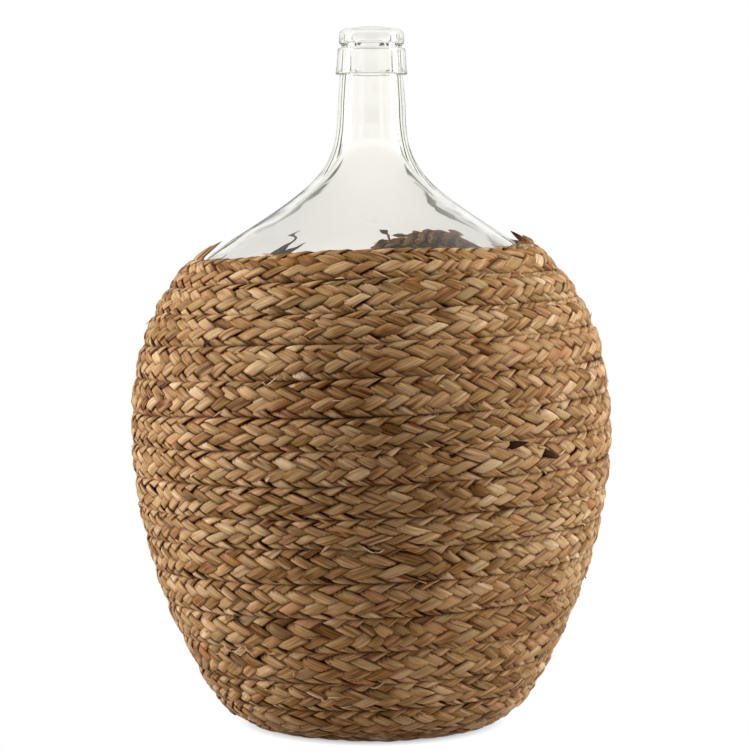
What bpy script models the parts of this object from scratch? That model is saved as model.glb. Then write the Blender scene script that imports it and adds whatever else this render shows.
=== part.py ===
"""Glass demijohn vase in a sewn cover of plaited seagrass.

A clear bottle with a round belly, a low straight shoulder and a narrow
collared mouth stands in a cover that is one flat plait, wound in a spiral. The
spiral starts under the middle of the base, turns up round the heel and climbs
the wall anticlockwise, seen from above, to its sewn-down end at the back of the
shoulder. A thread in the groove between the turns holds them together.

Units are metres. +Z is up, the vase stands on z = 0 with its axis on the Z
axis, and its front looks along -Y. A profile point is (radius, height).
"""

import math

import bmesh
import bpy
from mathutils import Vector

# The bottle's body
HEIGHT = 0.540
BELLY_RADIUS = 0.1786
BELLY_HEIGHT = 0.234
FOOT_RADIUS = 0.106
HEEL_RISE = 0.027
PUNT_RADIUS = 0.060
PUNT_DEPTH = 0.020
SHOULDER_RADIUS = 0.104
SHOULDER_DROP = 0.100
SHOULDER_SLOPE = math.radians(32.0)

# The bottle's neck and mouth
NECK_FOOT_RADIUS = 0.0267
NECK_TOP_RADIUS = 0.0245
NECK_LENGTH = 0.0242
COLLAR_RADIUS = 0.0280
COLLAR_TOP_RADIUS = 0.0264
COLLAR_HEIGHT = 0.0205
COLLAR_ROUNDING = 0.0015
WAIST_RADIUS = 0.0236
WAIST_HEIGHT = 0.0028
LIP_RADIUS = 0.0254
LIP_HEIGHT = 0.0125
LIP_ROUNDING = 0.0055
LIP_UNDER_ROUNDING = 0.0020
BORE_RADIUS = 0.0170
BORE_ROUNDING = 0.0015

# The glass's thickness, from the base to the neck
BASE_WALL = 0.007
BELLY_WALL = 0.0045
SHOULDER_WALL = 0.0045
NECK_WALL = 0.0063

# The plait and how it is wound and sewn
PLAIT_WIDTH = 0.0254
PLAIT_THICKNESS = 0.008
TURN_GAP = 0.0008
CLEARANCE = 0.0003
BASE_PRESS = 0.0005
COIL_EYE_RADIUS = 0.0028
COVER_HEIGHT = 0.370
COVER_END_AZIMUTH = math.radians(86.0)
COVER_LEAN = 0.0035
WALL_START_RISE = 0.001
THREAD_RADIUS = 0.0006

# Form of the flank, a power of the way up, and the curves' handles
FLANK_FULLNESS = 2.0
BELLY_HANDLE_share = 0.52
LOWER_SHOULDER_HANDLE_share = 0.56
UPPER_SHOULDER_HANDLE_share = 0.90
NECK_HANDLE_share = 0.44
ROUNDING_LIMIT_share = 0.45

# The plait's section: half its flat and half its width, and how its ends taper
PLAIT_FLAT_share = 0.30
PLAIT_EDGE_share = 0.50
START_TAPER_share = 0.68
END_TAPER_share = 0.50

# Faceting: round the axis, along the profile's stretches, and along the plait
BOTTLE_SEGMENTS = 48
PUNT_STEPS = 5
HEEL_STEPS = 6
FLANK_STEPS = 8
LOWER_SHOULDER_STEPS = 8
UPPER_SHOULDER_STEPS = 9
EDGE_STEPS = 2
LIP_STEPS = 4
STEPS_PER_TURN = 24
START_TAPER_STEPS = 5
END_TAPER_STEPS = 4
THREAD_SIDES = 3
GUIDE_STEPS = 160
SHARP_ANGLE = math.radians(35.0)
MERGE_DISTANCE = 0.00001

# Heights and sizes that follow from the ones above
GLASS_SEAT = PLAIT_THICKNESS - BASE_PRESS + CLEARANCE
LIP_FOOT = HEIGHT - LIP_HEIGHT
COLLAR_TOP = LIP_FOOT - WAIST_HEIGHT
COLLAR_FOOT = COLLAR_TOP - COLLAR_HEIGHT
NECK_FOOT = COLLAR_FOOT - NECK_LENGTH
SHOULDER_HEIGHT = NECK_FOOT - SHOULDER_DROP
PITCH = PLAIT_WIDTH + TURN_GAP
STEP = PITCH / STEPS_PER_TURN
MID_OFFSET = CLEARANCE + PLAIT_THICKNESS / 2


def clear_scene():
    """Remove every object of the scene."""
    for item in list(bpy.data.objects):
        bpy.data.objects.remove(item, do_unlink=True)


def finish(name, color, roughness, metallic=0.0, transmission=0.0):
    """Return a Principled material."""
    material = bpy.data.materials.new(name)
    material.use_nodes = True
    shader = material.node_tree.nodes["Principled BSDF"]
    shader.inputs["Base Color"].default_value = (*color, 1.0)
    shader.inputs["Roughness"].default_value = roughness
    shader.inputs["Metallic"].default_value = metallic
    shader.inputs["Transmission Weight"].default_value = transmission
    return material


def cubic(start, first, second, end, count):
    """Return count points of a cubic curve, without its start."""
    points = []
    for i in range(1, count + 1):
        t = i / count
        u = 1.0 - t
        weights = (u ** 3, 3 * u * u * t, 3 * u * t * t, t ** 3)
        corners = (start, first, second, end)
        points.append(tuple(sum(w * c[k] for w, c in zip(weights, corners)) for k in (0, 1)))
    return points


def rounding(corner, before, after, radius, count):
    """Return an arc of the radius that rounds a corner between two straight runs."""
    corner, before, after = Vector(corner), Vector(before), Vector(after)
    into = (before - corner).normalized()
    out = (after - corner).normalized()
    half = into.angle(out) / 2
    centre = corner + (into + out).normalized() * (radius / math.sin(half))
    reach = radius / math.tan(half)
    first = corner + into * reach - centre
    last = corner + out * reach - centre
    sweep = first.angle_signed(last)
    points = []
    for i in range(count + 1):
        turn = -sweep * i / count
        cos, sin = math.cos(turn), math.sin(turn)
        points.append((centre.x + first.x * cos - first.y * sin,
                       centre.y + first.x * sin + first.y * cos))
    return points


def flank_point(height):
    """Return the flank's outer point at a height between the seat and the belly."""
    way = (height - GLASS_SEAT) / (BELLY_HEIGHT - GLASS_SEAT)
    radius = FOOT_RADIUS + (BELLY_RADIUS - FOOT_RADIUS) * (1.0 - (1.0 - way) ** FLANK_FULLNESS)
    return (radius, height)


def punt(count):
    """Return the kick-up under the bottle, from the axis to its standing ring."""
    points = []
    for i in range(count + 1):
        radius = PUNT_RADIUS * i / count
        rise = PUNT_DEPTH * (1.0 + math.cos(math.pi * i / count)) / 2
        points.append((radius, GLASS_SEAT + rise))
    return points


def heel(count):
    """Return the rounding from the standing ring to the flank."""
    end = flank_point(GLASS_SEAT + HEEL_RISE)
    way = HEEL_RISE / (BELLY_HEIGHT - GLASS_SEAT)
    spread = (BELLY_RADIUS - FOOT_RADIUS) / (BELLY_HEIGHT - GLASS_SEAT)
    slope = spread * FLANK_FULLNESS * (1.0 - way) ** (FLANK_FULLNESS - 1.0)
    corner = (end[0] - slope * HEEL_RISE, GLASS_SEAT)
    reach = math.dist(corner, end)
    start = (corner[0] - reach, GLASS_SEAT)
    points = [start]
    for i in range(1, count + 1):
        t = i / count
        u = 1.0 - t
        points.append(tuple(u * u * start[k] + 2 * u * t * corner[k] + t * t * end[k] for k in (0, 1)))
    return points


def flank(count):
    """Return the flank from the heel's end, which it leaves out, to the belly."""
    low = GLASS_SEAT + HEEL_RISE
    return [flank_point(low + (BELLY_HEIGHT - low) * i / count) for i in range(1, count + 1)]


def shoulder(lower_count, upper_count):
    """Return the curve from the belly over the straight shoulder to the neck's foot."""
    along = (math.cos(SHOULDER_SLOPE), math.sin(SHOULDER_SLOPE))
    belly = (BELLY_RADIUS, BELLY_HEIGHT)
    middle = (SHOULDER_RADIUS, SHOULDER_HEIGHT)
    foot = (NECK_FOOT_RADIUS, NECK_FOOT)
    rise = BELLY_HANDLE_share * (SHOULDER_HEIGHT - BELLY_HEIGHT)
    lower = LOWER_SHOULDER_HANDLE_share * (BELLY_RADIUS - SHOULDER_RADIUS) / along[0]
    upper = UPPER_SHOULDER_HANDLE_share * (SHOULDER_RADIUS - NECK_FOOT_RADIUS) / along[0]
    drop = NECK_HANDLE_share * SHOULDER_DROP
    points = cubic(belly, (belly[0], belly[1] + rise),
                   (middle[0] + lower * along[0], middle[1] - lower * along[1]), middle, lower_count)
    points += cubic(middle, (middle[0] - upper * along[0], middle[1] + upper * along[1]),
                    (foot[0], foot[1] - drop), foot, upper_count)
    return points


def mouth_outside():
    """Return the outside from the neck's top over the collar, waist and lip to the land."""
    lip_wall = LIP_RADIUS - BORE_RADIUS
    top_rounding = min(LIP_ROUNDING, lip_wall - BORE_ROUNDING - ROUNDING_LIMIT_share * BORE_ROUNDING)
    under = min(LIP_UNDER_ROUNDING, ROUNDING_LIMIT_share * LIP_HEIGHT, LIP_RADIUS - WAIST_RADIUS)
    edge = min(COLLAR_ROUNDING, ROUNDING_LIMIT_share * COLLAR_HEIGHT)
    neck_top = (NECK_TOP_RADIUS, COLLAR_FOOT)
    collar_foot = (COLLAR_RADIUS, COLLAR_FOOT)
    collar_top = (COLLAR_TOP_RADIUS, COLLAR_TOP)
    waist_foot = (WAIST_RADIUS, COLLAR_TOP)
    waist_top = (WAIST_RADIUS, LIP_FOOT)
    lip_foot = (LIP_RADIUS, LIP_FOOT)
    lip_top = (LIP_RADIUS, HEIGHT)
    land = (BORE_RADIUS, HEIGHT)
    points = [neck_top]
    points += rounding(collar_foot, neck_top, collar_top, edge, EDGE_STEPS)
    points += rounding(collar_top, collar_foot, waist_foot, edge, EDGE_STEPS)
    points += [waist_foot, waist_top]
    points += rounding(lip_foot, waist_top, lip_top, under, EDGE_STEPS)
    points += rounding(lip_top, lip_foot, land, top_rounding, LIP_STEPS)
    return points


def wall_thickness(share, belly_share, shoulder_share):
    """Return the glass's thickness at a share of the way from the axis to the neck's foot."""
    stations = ((0.0, BASE_WALL), (belly_share, BELLY_WALL),
                (shoulder_share, SHOULDER_WALL), (1.0, NECK_WALL))
    for (low, thin), (high, thick) in zip(stations, stations[1:]):
        if share <= high:
            t = (share - low) / (high - low)
            return thin + (thick - thin) * t * t * (3.0 - 2.0 * t)
    return NECK_WALL


def bottle_profile():
    """Return the bottle's closed half section, from the axis outside to the axis inside."""
    outside = punt(PUNT_STEPS) + heel(HEEL_STEPS) + flank(FLANK_STEPS)
    belly = len(outside) - 1
    outside += shoulder(LOWER_SHOULDER_STEPS, UPPER_SHOULDER_STEPS)
    lengths = [0.0]
    for a, b in zip(outside, outside[1:]):
        lengths.append(lengths[-1] + math.dist(a, b))
    belly_share = lengths[belly] / lengths[-1]
    shoulder_share = lengths[belly + LOWER_SHOULDER_STEPS] / lengths[-1]
    inside = []
    for i, (radius, height) in enumerate(outside):
        a = outside[max(i - 1, 0)]
        b = outside[min(i + 1, len(outside) - 1)]
        run = math.dist(a, b)
        along = ((b[0] - a[0]) / run, (b[1] - a[1]) / run)
        thick = wall_thickness(lengths[i] / lengths[-1], belly_share, shoulder_share)
        if i == 0:
            inside.append((0.0, height + thick))
        elif i == len(outside) - 1:
            inside.append((radius - thick, height))
        else:
            inside.append((radius - along[1] * thick, height + along[0] * thick))
    bore_edge = rounding((BORE_RADIUS, HEIGHT), (LIP_RADIUS, HEIGHT), inside[-1],
                         BORE_ROUNDING, EDGE_STEPS)
    return outside + mouth_outside() + bore_edge + inside[::-1]


def make_bottle(material):
    """Turn the bottle's half section about the axis."""
    shape = bmesh.new()
    corners = [shape.verts.new((radius, 0.0, height)) for radius, height in bottle_profile()]
    edges = [shape.edges.new(pair) for pair in zip(corners, corners[1:])]
    bmesh.ops.spin(shape, geom=corners + edges, cent=(0.0, 0.0, 0.0), axis=(0.0, 0.0, 1.0),
                   angle=math.tau, steps=BOTTLE_SEGMENTS, use_merge=True)
    bmesh.ops.remove_doubles(shape, verts=shape.verts, dist=MERGE_DISTANCE)
    return make_object("glass_bottle", shape, material)


def make_object(name, shape, material):
    """Make a smooth-shaded object of a bmesh, with its faces pointing out."""
    bmesh.ops.recalc_face_normals(shape, faces=shape.faces)
    mesh = bpy.data.meshes.new(name)
    shape.to_mesh(mesh)
    shape.free()
    mesh.materials.append(material)
    mesh.shade_smooth()
    mesh.set_sharp_from_angle(angle=SHARP_ANGLE)
    made = bpy.data.objects.new(name, mesh)
    bpy.context.collection.objects.link(made)
    return made


class Guide:
    """The line, in half section, that the middle of the plait follows outwards and up."""

    def __init__(self):
        """Offset the bottle's outside and measure the line's length."""
        outside = [(0.0, GLASS_SEAT)] + heel(GUIDE_STEPS) + flank(GUIDE_STEPS)
        outside += shoulder(GUIDE_STEPS, GUIDE_STEPS)
        self.points = []
        for i, (radius, height) in enumerate(outside):
            a = outside[max(i - 1, 0)]
            b = outside[min(i + 1, len(outside) - 1)]
            run = math.dist(a, b)
            along = ((b[0] - a[0]) / run, (b[1] - a[1]) / run)
            if i <= 1:
                along = (1.0, 0.0)
            self.points.append((radius + along[1] * MID_OFFSET, height - along[0] * MID_OFFSET, along))
        self.lengths = [0.0]
        for a, b in zip(self.points, self.points[1:]):
            self.lengths.append(self.lengths[-1] + math.dist(a[:2], b[:2]))

    def at(self, length):
        """Return the radius, the height and the direction at a length along the line."""
        low, high = 0, len(self.lengths) - 1
        while high - low > 1:
            middle = (low + high) // 2
            if self.lengths[middle] <= length:
                low = middle
            else:
                high = middle
        a, b = self.points[low], self.points[high]
        t = (length - self.lengths[low]) / (self.lengths[high] - self.lengths[low])
        mixed = [a[2][k] * (1.0 - t) + b[2][k] * t for k in (0, 1)]
        size = math.hypot(*mixed)
        return (a[0] * (1.0 - t) + b[0] * t, a[1] * (1.0 - t) + b[1] * t,
                (mixed[0] / size, mixed[1] / size))

    def length_at_height(self, height):
        """Return the length at which the line reaches a height."""
        for i, point in enumerate(self.points):
            if point[1] >= height:
                a, b = self.points[i - 1], point
                t = (height - a[1]) / (b[1] - a[1])
                return self.lengths[i - 1] * (1.0 - t) + self.lengths[i] * t
        return self.lengths[-1]


class Winding:
    """The spiral of the plait: its stations along the guide, from the base's middle."""

    def __init__(self):
        """Count the steps that fit between the coil's eye and the cover's end."""
        self.guide = Guide()
        self.end = self.guide.length_at_height(COVER_HEIGHT)
        eye = COIL_EYE_RADIUS + PLAIT_WIDTH / 2
        self.steps = int((self.end - eye) / STEP)
        self.start = self.end - self.steps * STEP
        self.facet = 1.0 / math.cos(math.pi / STEPS_PER_TURN)

    def azimuth(self, step):
        """Return the direction of a station, anticlockwise from +X."""
        return COVER_END_AZIMUTH - (self.steps - step) * math.tau / STEPS_PER_TURN

    def place(self, step, across, out):
        """Return a point beside a station, across the plait and out from the bottle."""
        angle = self.azimuth(step)
        length = self.start + step * STEP
        climb = min(max((length - self.start) / (self.end - self.start), 0.0), 1.0)
        length += COVER_LEAN * climb * math.cos(angle)
        radius, height, along = self.guide.at(length)
        radius = radius * self.facet + along[0] * across + along[1] * out
        height = height + along[1] * across - along[0] * out
        return Vector((radius * math.cos(angle), radius * math.sin(angle), height))

    def taper(self, step):
        """Return the plait's share of its width at a station, and which edge it keeps."""
        to_start = min(step / START_TAPER_STEPS, 1.0)
        to_end = min((self.steps - step) / END_TAPER_STEPS, 1.0)
        width = START_TAPER_share + (1.0 - START_TAPER_share) * to_start
        width *= END_TAPER_share + (1.0 - END_TAPER_share) * to_end
        shift = -PLAIT_WIDTH * (1.0 - width) / 2
        return width, shift

    def section(self, step):
        """Return the six corners of the plait's flat section at a station."""
        width, shift = self.taper(step)
        edge = PLAIT_WIDTH * PLAIT_EDGE_share * width
        flat = PLAIT_WIDTH * PLAIT_FLAT_share * width
        half = PLAIT_THICKNESS / 2
        outline = ((edge, 0.0), (flat, half), (-flat, half), (-edge, 0.0), (-flat, -half), (flat, -half))
        return [self.place(step, shift + across, out) for across, out in outline]

    def wall_start(self):
        """Return the first station at which the whole section is off the floor."""
        step = self.steps
        while step > 0 and min(point.z for point in self.section(step)) >= WALL_START_RISE:
            step -= 1
        return step + 1

    def normal(self, step):
        """Return the direction out of the plait's face at a station."""
        return (self.place(step, 0.0, PLAIT_THICKNESS) - self.place(step, 0.0, 0.0)).normalized()

    def groove(self, step):
        """Return the middle of the thread that lies on both edges of a groove.

        The groove is the one between a station's outer edge and the next turn.
        """
        outer = step + STEPS_PER_TURN
        lower, upper = self.section(step), self.section(outer)
        middle = (lower[0] + upper[3]) / 2
        out = (self.normal(step) + self.normal(outer)).normalized()
        rise = 0.0
        for tip, flat, far in ((lower[0], lower[1], lower[3]), (upper[3], upper[2], upper[0])):
            side = (flat - tip).normalized()
            away = tip - far
            facing = (away - side * away.dot(side)).normalized()
            room = facing.dot(middle - tip)
            rise = max(rise, (THREAD_RADIUS + CLEARANCE - room) / facing.dot(out))
        return middle + out * rise


def sweep(rings):
    """Join rings of points into one closed tube with flat ends."""
    shape = bmesh.new()
    rows = [[shape.verts.new(point) for point in ring] for ring in rings]
    sides = len(rows[0])
    for a, b in zip(rows, rows[1:]):
        for k in range(sides):
            shape.faces.new((a[k], a[(k + 1) % sides], b[(k + 1) % sides], b[k]))
    shape.faces.new(rows[0])
    shape.faces.new(rows[-1])
    return shape


def halfway(ring, other, back):
    """Return the ring halfway between two others, drawn back by half the joint's gap."""
    middle = [(a + b) / 2 for a, b in zip(ring, other)]
    return [point + (a - point).normalized() * back for point, a in zip(middle, ring)]


def least_gap(rings):
    """Return the least distance between points of the sections one turn apart."""
    least = math.inf
    for ring, outer in zip(rings, rings[STEPS_PER_TURN:]):
        for point in ring:
            for other in outer:
                least = min(least, (point - other).length)
    return least


def press_flat(ring):
    """Return a ring with what would lie under the floor pressed up to it."""
    return [Vector((point.x, point.y, max(point.z, 0.0))) for point in ring]


def make_cover(material):
    """Make the base's coil and the wall's winding, which meet face to face."""
    winding = Winding()
    rings = [press_flat(winding.section(step)) for step in range(winding.steps + 1)]
    split = winding.wall_start()
    back = [a + (a - b).normalized() * PLAIT_THICKNESS for a, b in zip(rings[0], rings[1])]
    base_rings = [back] + rings[:split] + [halfway(rings[split - 1], rings[split], CLEARANCE / 2)]
    wall_rings = [halfway(rings[split], rings[split - 1], CLEARANCE / 2)] + rings[split:]
    make_object("base_coil", sweep(base_rings), material)
    make_object("wall_winding", sweep(wall_rings), material)
    print("turns:", round(winding.steps / STEPS_PER_TURN, 2),
          "of them under the base:", round(split / STEPS_PER_TURN, 2))
    print("least gap between turns, mm:", round(least_gap([back] + rings) * 1000, 3))
    return winding


def make_thread(winding, material):
    """Make the wall's sewing thread. The base's stitches are blind and have none outside."""
    last = winding.steps - STEPS_PER_TURN - END_TAPER_STEPS
    centres = [winding.groove(step) for step in range(winding.wall_start(), last)]
    rings = []
    for i, centre in enumerate(centres):
        a = centres[max(i - 1, 0)]
        b = centres[min(i + 1, len(centres) - 1)]
        along = (b - a).normalized()
        side = along.cross(Vector((0.0, 0.0, 1.0))).normalized()
        up = side.cross(along)
        ring = []
        for k in range(THREAD_SIDES):
            turn = math.tau * k / THREAD_SIDES
            ring.append(centre + (side * math.cos(turn) + up * math.sin(turn)) * THREAD_RADIUS)
        rings.append(ring)
    make_object("sewing_thread", sweep(rings), material)


def main():
    """Build the vase."""
    clear_scene()
    glass = finish("clear_glass", (0.93, 0.95, 0.92), 0.03, transmission=1.0)
    seagrass = finish("seagrass_plait", (0.50, 0.33, 0.17), 0.62)
    thread = finish("sewing_thread", (0.72, 0.62, 0.45), 0.7)
    make_bottle(glass)
    winding = make_cover(seagrass)
    make_thread(winding, thread)


main()
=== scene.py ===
"""Looks of a glass demijohn vase in its sewn cover of plaited seagrass.

The clear bottle, the seven strands of the plait that is wound round it, the
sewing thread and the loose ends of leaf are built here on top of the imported
model. Units are metres. +Z is up, the vase stands on z = 0 and its front looks
along -Y. A profile point is (radius, height). Across the plait, positive is up
the wall, and out is away from the glass.
"""

import logging
import math
from dataclasses import dataclass, field
from enum import Enum

import bpy
import numpy as np
from bpy.types import Material, NodeSocket as Socket, Object, World
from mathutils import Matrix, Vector


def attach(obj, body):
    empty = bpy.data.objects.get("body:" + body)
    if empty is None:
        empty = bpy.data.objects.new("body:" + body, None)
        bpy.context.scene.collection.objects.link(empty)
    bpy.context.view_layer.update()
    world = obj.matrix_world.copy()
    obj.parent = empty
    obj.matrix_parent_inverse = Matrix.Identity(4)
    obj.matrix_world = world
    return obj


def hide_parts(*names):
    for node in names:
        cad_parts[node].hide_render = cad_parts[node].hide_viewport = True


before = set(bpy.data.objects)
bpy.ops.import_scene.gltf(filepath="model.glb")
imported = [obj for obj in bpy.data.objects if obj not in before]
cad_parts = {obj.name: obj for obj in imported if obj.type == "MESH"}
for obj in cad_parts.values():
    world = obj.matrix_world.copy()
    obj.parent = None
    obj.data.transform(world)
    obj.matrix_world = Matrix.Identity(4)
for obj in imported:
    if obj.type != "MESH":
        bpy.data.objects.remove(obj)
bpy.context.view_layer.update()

logging.basicConfig(level=logging.INFO, format="%(message)s")
LOG = logging.getLogger("vase")

Array = np.ndarray
Draws = np.random.Generator
Point = tuple[float, float]
Place = tuple[float, float, float]
Color = tuple[float, float, float]
Points = tuple[Point, ...]
Rows = tuple[tuple[float, ...], ...]

MEAN_HUE = 0.5
LEAST_LENGTH = 1e-12
SPARE_KNOTS = 4
MILLIMETRES = 1000.0


class Slot(Enum):
    """The record's material slots."""

    GLASS = "glass"
    PLAIT = "plait"
    THREAD = "thread"


class Node(Enum):
    """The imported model's nodes."""

    BOTTLE = "glass_bottle"
    BASE = "base_coil"
    WALL = "wall_winding"
    THREAD = "sewing_thread"


class Blend(Enum):
    """The ways in which a colour is laid on another."""

    OVER = "MIX"
    TINT = "MULTIPLY"


def unit(vectors: Array) -> Array:
    """Return rows of vectors at length one."""
    return vectors / np.maximum(np.linalg.norm(vectors, axis=-1, keepdims=True), LEAST_LENGTH)


def run_along(points: Array) -> Array:
    """Return the length along a row of points, from 0 at the first."""
    return np.concatenate(([0.0], np.cumsum(np.linalg.norm(np.diff(points, axis=0), axis=1))))


def soften(share: Array) -> Array:
    """Return a share from 0 to 1 that starts and ends level."""
    return share * share * (3.0 - 2.0 * share)


def smooth_step(low: float, high: float, value: Array) -> Array:
    """Return 0 below low, 1 above high and a smooth rise between."""
    return soften(np.clip((value - low) / (high - low), 0.0, 1.0))


def between(low: float, share: Array) -> Array:
    """Return low where a share is 0, and 1 where it is 1."""
    return low + (1.0 - low) * share


def bell(away: Array, width: float) -> Array:
    """Return 1 at no distance, falling off to both sides as a bell does."""
    return np.exp(-0.5 * (away / width) ** 2)


def eased(at: Array, knots: Points) -> Array:
    """Return a smooth value between knots, level at each of them.

    Args:
        at: Where to read it.
        knots: The place and value of each knot, in rising order of place.

    Returns:
        The values.
    """
    places, values = np.array(knots).T
    index = np.clip(np.searchsorted(places, at, side="right") - 1, 0, len(places) - 2)
    share = np.clip((at - places[index]) / (places[index + 1] - places[index]), 0.0, 1.0)
    return values[index] + (values[index + 1] - values[index]) * soften(share)


@dataclass(frozen=True)
class Drift:
    """A smooth random change: the distance between its knots, its size and their spread."""

    spacing: float
    size: float = 1.0
    spread: float = 0.55

    def along(self, rng: Draws, at: Array) -> Array:
        """Return the change, mostly between plus and minus its size.

        Args:
            rng: The source of the random knots.
            at: Where the line is read, rising.

        Returns:
            The line's value at each place.
        """
        place = (at - at.min()) / self.spacing
        knots = rng.normal(0.0, self.spread, int(place.max()) + SPARE_KNOTS)
        low = place.astype(int)
        t = soften(place - low)
        return (knots[low] * (1.0 - t) + knots[low + 1] * t) * self.size


class Nodes:
    """A small helper that adds and joins the nodes of one material or world.

    A mix node's sockets are given by number, because its colours share their names with
    its other values.
    """

    under_socket: int = 6
    over_socket: int = 7
    mixed_socket: int = 2

    def __init__(self, owner: Material | World, shader: str = "Principled BSDF") -> None:
        """Turn the owner's nodes on.

        Args:
            owner: The material or the world.
            shader: The name of its shader's node.
        """
        owner.use_nodes = True
        self.owner = owner
        self.tree = owner.node_tree
        self.shader = self.tree.nodes[shader]

    def feed(self, node: bpy.types.Node, inputs: dict[str | int, object]) -> None:
        """Join or set some of a node's inputs.

        Args:
            node: The node.
            inputs: A socket, number, vector or colour for each input.
        """
        for key, value in inputs.items():
            if isinstance(value, Socket):
                self.tree.links.new(value, node.inputs[key])
            elif node.inputs[key].type == "RGBA":
                node.inputs[key].default_value = (*value, 1.0)
            else:
                node.inputs[key].default_value = value

    def add(self, kind: str, inputs: dict[str | int, object] | None = None,
            **settings: object) -> bpy.types.Node:
        """Add a node.

        Args:
            kind: Its type.
            inputs: What its inputs are joined or set to.
            settings: Its own properties.

        Returns:
            The node.
        """
        node = self.tree.nodes.new(kind)
        for key, value in settings.items():
            setattr(node, key, value)
        self.feed(node, inputs or {})
        return node

    def attribute(self, name: str) -> Socket:
        """Return the value of a point attribute."""
        return self.add("ShaderNodeAttribute", attribute_name=name).outputs["Fac"]

    def uv(self) -> Socket:
        """Return the piece's own UV."""
        return self.add("ShaderNodeUVMap", uv_map="UVMap").outputs["UV"]

    def own_place(self) -> Socket:
        """Return Object coordinates."""
        return self.add("ShaderNodeTexCoord").outputs["Object"]

    def scaled(self, vector: Socket, scale: Place) -> Socket:
        """Return coordinates times a scale."""
        return self.add("ShaderNodeMapping", {"Vector": vector, "Scale": scale}).outputs["Vector"]

    def noise(self, vector: Socket, scale: float, detail: float = 2.0,
              roughness: float = 0.5) -> Socket:
        """Return a noise value from 0 to 1."""
        return self.add("ShaderNodeTexNoise", {"Vector": vector, "Scale": scale, "Detail": detail,
                                               "Roughness": roughness}).outputs["Fac"]

    def spread(self, value: Socket, low: float, high: float, to_low: float = 0.0,
               to_high: float = 1.0, way: str = "LINEAR") -> Socket:
        """Return a value moved from one range to another and clamped to it.

        Args:
            value: The value.
            low: The start of the range that it is read in.
            high: The end of that range.
            to_low: What it becomes at the start.
            to_high: What it becomes at the end.
            way: How it changes between them.

        Returns:
            The new value.
        """
        inputs = {"Value": value, "From Min": low, "From Max": high, "To Min": to_low,
                  "To Max": to_high}
        return self.add("ShaderNodeMapRange", inputs, interpolation_type=way).outputs["Result"]

    def math(self, operation: str, a: Socket, b: Socket | float = 0.0) -> Socket:
        """Return a value made of two, of one and a number, or of one."""
        return self.add("ShaderNodeMath", {0: a, 1: b}, operation=operation).outputs["Value"]

    def ramp(self, value: Socket, stops: tuple[tuple[float, Color], ...]) -> Socket:
        """Return a colour read from a row of stops.

        Args:
            value: Where it is read.
            stops: The place and colour of each stop.

        Returns:
            The colour.
        """
        node = self.add("ShaderNodeValToRGB", {"Fac": value})
        row = node.color_ramp.elements
        while len(row) < len(stops):
            row.new(0.5)
        for element, (place, color) in zip(row, stops):
            element.position = place
            element.color = (*color, 1.0)
        return node.outputs["Color"]

    def mix(self, blend: Blend, share: Socket, under: Socket | Color,
            over: Socket | Color) -> Socket:
        """Return a colour with another laid on it.

        Args:
            blend: How it is laid on.
            share: How strongly, from 0 to 1.
            under: The first colour.
            over: The colour that is laid on it.

        Returns:
            The new colour.
        """
        inputs = {0: share, self.under_socket: under, self.over_socket: over}
        node = self.add("ShaderNodeMix", inputs, data_type="RGBA", blend_type=blend.value)
        return node.outputs[self.mixed_socket]

    def bump(self, height: Socket, strength: float, distance: float) -> None:
        """Give the shader a relief.

        Args:
            height: The relief's height.
            strength: How strongly it shows.
            distance: The height that 1 stands for.
        """
        node = self.add("ShaderNodeBump", {"Height": height, "Strength": strength,
                                           "Distance": distance})
        self.feed(self.shader, {"Normal": node.outputs["Normal"]})


@dataclass(frozen=True)
class GlassFinish:
    """Clear polished bottle glass with a faint grey-green cast."""

    name: str = "clear_glass"
    tint: Color = (0.998, 0.991, 0.984)
    depth_tint: Color = (0.70, 0.74, 0.55)
    depth: float = 11.0
    ior: float = 1.51
    ripple_stretch: Place = (1.0, 1.0, 0.55)
    ripple_scale: float = 26.0
    ripple_strength: float = 0.06
    ripple_height: float = 0.004

    def build(self) -> Material:
        """Make the material.

        Returns:
            The material.
        """
        nodes = Nodes(bpy.data.materials.new(self.name))
        nodes.feed(nodes.shader, {"Base Color": self.tint, "Roughness": 0.0, "IOR": self.ior,
                                  "Transmission Weight": 1.0})
        ripple = nodes.noise(nodes.scaled(nodes.own_place(), self.ripple_stretch),
                             self.ripple_scale)
        nodes.bump(ripple, self.ripple_strength, self.ripple_height)
        absorb = nodes.add("ShaderNodeVolumeAbsorption",
                           {"Color": self.depth_tint, "Density": self.depth})
        nodes.feed(nodes.tree.nodes["Material Output"], {"Volume": absorb.outputs["Volume"]})
        return nodes.owner


@dataclass(frozen=True)
class Grain:
    """A noise along the leaf, and how far it moves the leaf's tone."""

    scale: Place
    detail: float
    roughness: float
    read: Point
    shift: Point


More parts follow.
